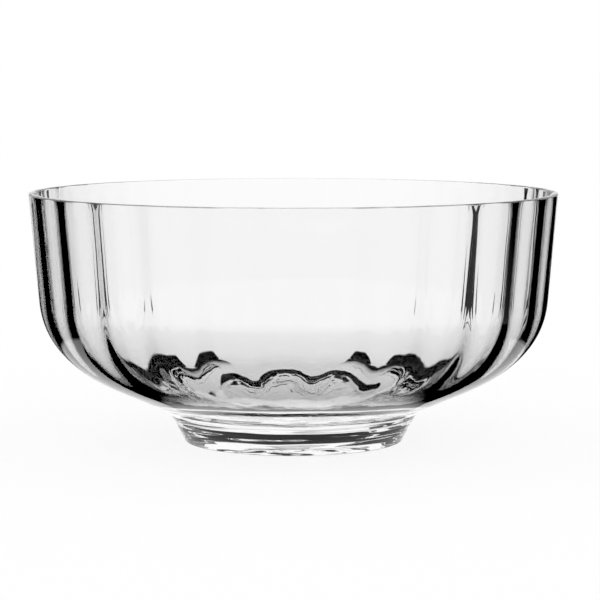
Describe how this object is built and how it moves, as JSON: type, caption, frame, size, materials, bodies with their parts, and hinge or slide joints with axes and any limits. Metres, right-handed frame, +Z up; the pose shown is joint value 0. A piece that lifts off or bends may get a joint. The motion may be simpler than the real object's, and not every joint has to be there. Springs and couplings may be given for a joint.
{
  "type": "footed glass bowl",
  "caption": "Clear blown-glass bowl with a tall, slightly flared wall, soft upright ribs inside and a short solid applied foot, for serving fruit or salad.",
  "frame": {"origin": "centre of the plane that the foot stands on", "axes": "+Z up along the bowl's axis; the front faces -Y, and the rib nearest to it stands 4.3 degrees towards +X"},
  "size_m": [0.22, 0.22, 0.1042],
  "materials": {
    "bowl_glass": "clear colourless soda-lime glass, blown and fire-polished",
    "foot_glass": "clear colourless soda-lime glass, gathered solid and fire-polished"
  },
  "bodies": {
    "root": {"bowl": "bowl_glass", "foot": "foot_glass"}
  },
  "joints": []
}
